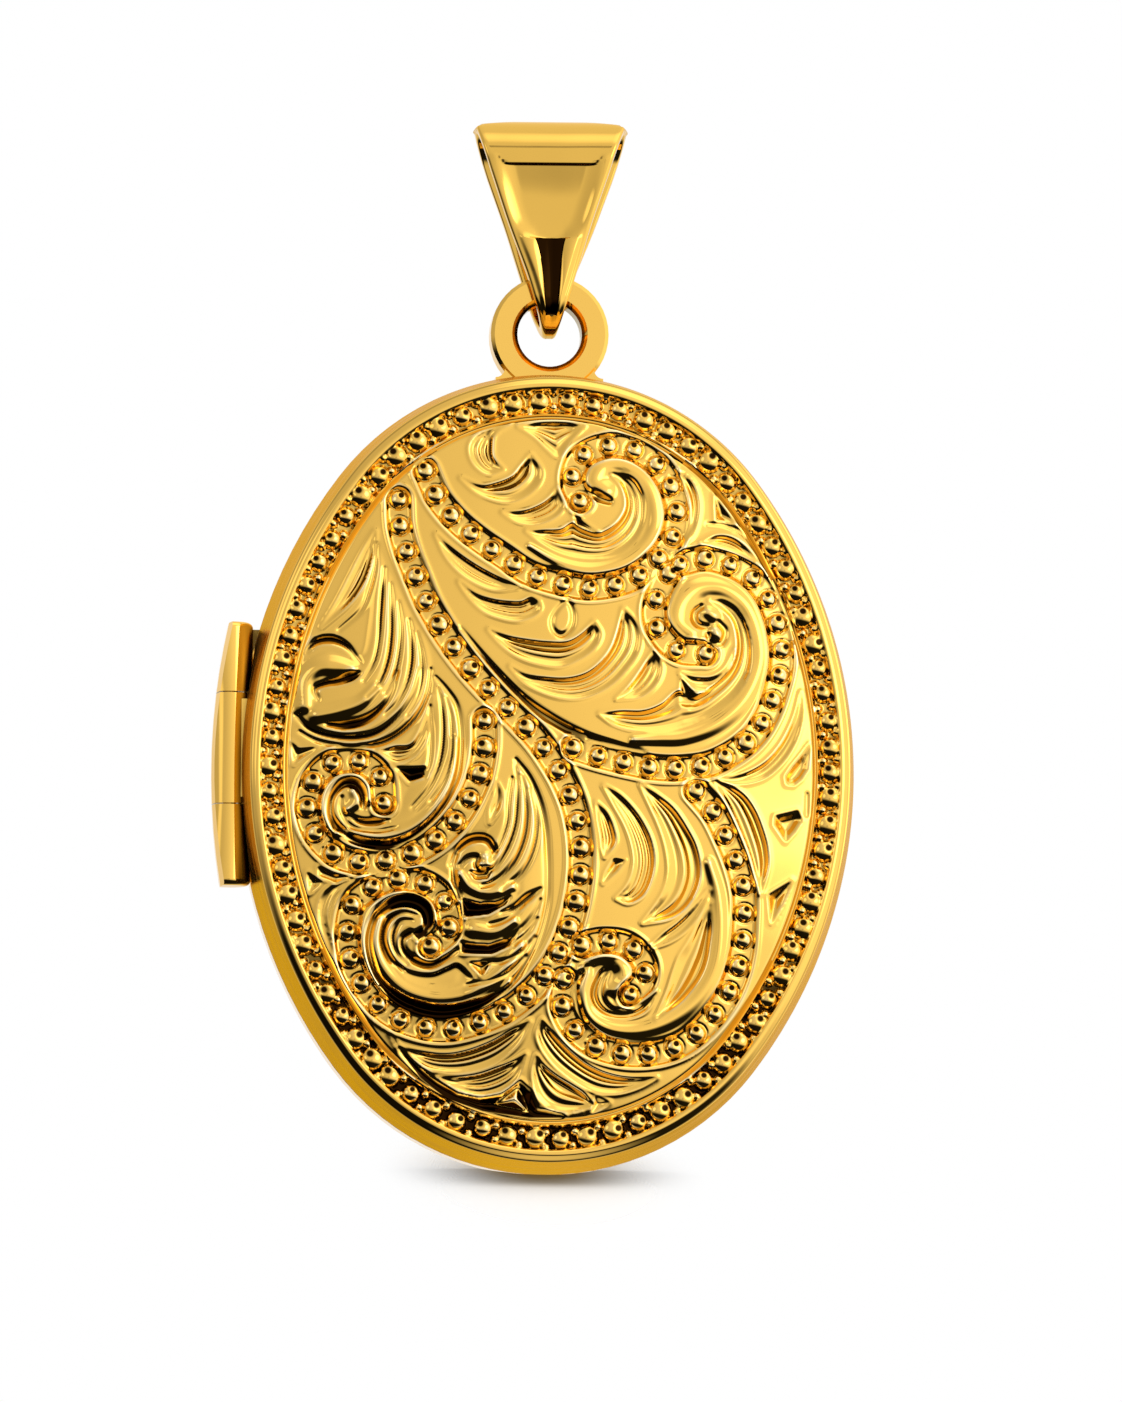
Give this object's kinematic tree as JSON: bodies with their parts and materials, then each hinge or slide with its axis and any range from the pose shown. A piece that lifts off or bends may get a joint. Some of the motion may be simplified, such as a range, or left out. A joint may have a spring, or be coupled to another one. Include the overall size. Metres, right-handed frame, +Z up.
{
  "type": "oval photo locket",
  "caption": "Oval photo locket with an engraved domed cover on a knuckled side hinge, a snap rim, two framed photo places, and a tapered bail on a soldered loop.",
  "frame": {"origin": "centre of the bail's chain eye, on the axis that a chain runs along", "axes": "+Z up along the hanging locket, -Y out of the engraved front, +X towards the opening side, with the hinge on -X"},
  "size_m": [0.0208, 0.0056, 0.0343],
  "materials": {
    "gold": "polished yellow gold",
    "pale_gold": "satin yellow gold",
    "clear_window": "clear acetate sheet",
    "photo_card": "matte blank photo card"
  },
  "bodies": {
    "bail": {"bail": "gold"},
    "back": {"chain_loop": "gold", "back_cover": "gold", "snap_rim": "pale_gold", "snap_bead": "pale_gold", "upper_knuckle": "gold", "lower_knuckle": "gold", "hinge_pin": "pale_gold", "back_photo_frame": "pale_gold", "back_window": "clear_window", "back_photo_card": "photo_card"},
    "front": {"front_cover": "gold", "middle_knuckle": "gold", "front_photo_frame": "pale_gold", "front_window": "clear_window", "front_photo_card": "photo_card"}
  },
  "joints": [
    {"name": "bail_swing", "type": "hinge", "parent": "bail", "child": "back", "pos_m": [0, 0, -0.00417], "axis": [1, 0, 0], "range_deg": [-90, 90]},
    {"name": "cover_hinge", "type": "hinge", "parent": "back", "child": "front", "pos_m": [-0.01025, -0.00066, -0.02001], "axis": [0, 0, -1], "range_deg": [0, 180]}
  ]
}
